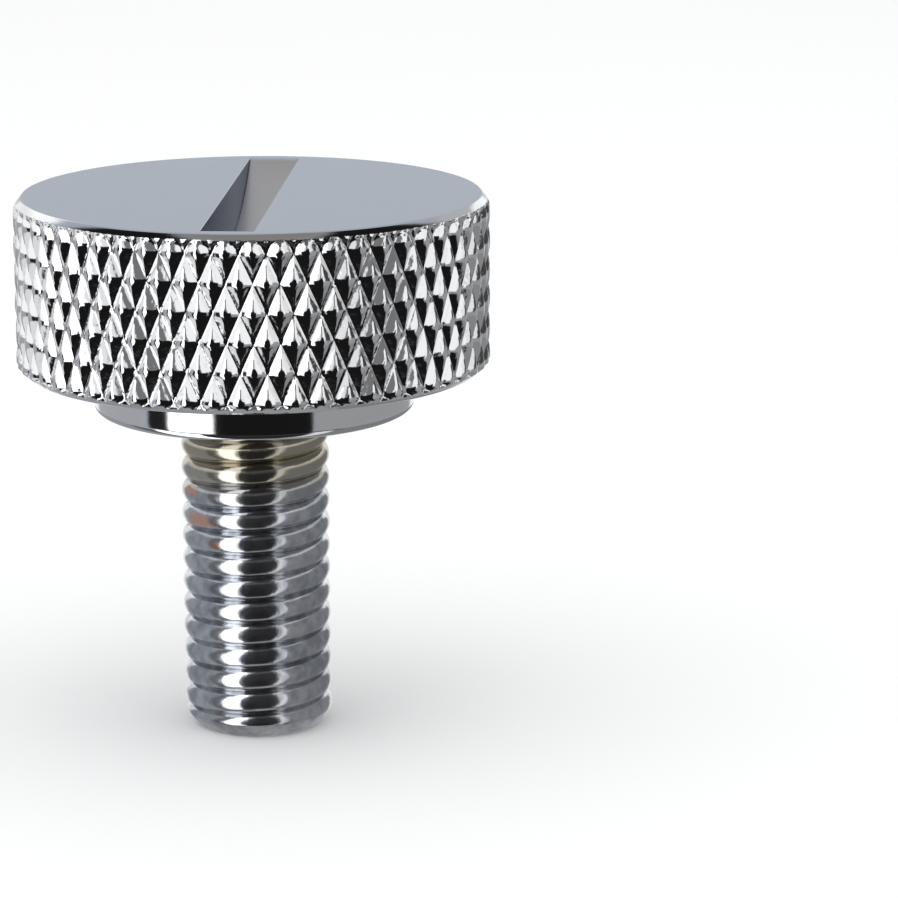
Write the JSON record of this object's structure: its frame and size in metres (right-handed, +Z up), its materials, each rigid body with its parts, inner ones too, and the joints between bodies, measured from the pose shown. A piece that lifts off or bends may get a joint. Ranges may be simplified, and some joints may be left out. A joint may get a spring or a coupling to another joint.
{
  "type": "seat mounting knob",
  "caption": "Chromed thumb screw with a diamond-knurled head, a coin slot across its top, a plain collar and a threaded shank; it holds a seat down by hand.",
  "frame": {"origin": "centre of the flat end of the shank, which the knob stands on", "axes": "+Z up the axis of the screw to the head, +Y along the coin slot"},
  "size_m": [0.0252, 0.0252, 0.0289],
  "materials": {
    "chrome": "bright chrome plate over nickel, yellowed on the first threads"
  },
  "bodies": {
    "root": {"seat_knob": "chrome"}
  },
  "joints": []
}
